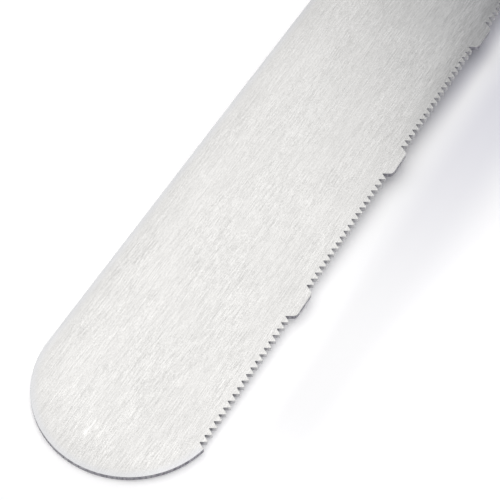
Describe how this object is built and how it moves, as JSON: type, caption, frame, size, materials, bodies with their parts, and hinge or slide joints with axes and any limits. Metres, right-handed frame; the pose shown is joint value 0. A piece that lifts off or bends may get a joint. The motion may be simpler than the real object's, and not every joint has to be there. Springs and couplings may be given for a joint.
{
  "type": "serrated cake knife",
  "caption": "Long round-ended cake knife with a finely serrated edge in groups, a plain back edge, a full tang and a riveted wooden handle.",
  "frame": {"origin": "middle of the knife seen from above, level with the underside of the handle", "axes": "+X along the knife towards the butt of the handle, +Y towards the plain edge, +Z square to the flat of the blade"},
  "size_m": [0.379, 0.0336, 0.0166],
  "materials": {
    "blade_steel": "satin, finely brushed along the blade",
    "handle_wood": "satin, oiled, grain along the handle",
    "rivet_brass": "satin, ground flat"
  },
  "bodies": {
    "root": {"blade": "blade_steel", "upper_handle_scale": "handle_wood", "lower_handle_scale": "handle_wood", "front_rivet_pin": "rivet_brass", "front_rivet_sleeve": "rivet_brass", "middle_rivet_pin": "rivet_brass", "middle_rivet_sleeve": "rivet_brass", "rear_rivet_pin": "rivet_brass", "rear_rivet_sleeve": "rivet_brass"}
  },
  "joints": []
}
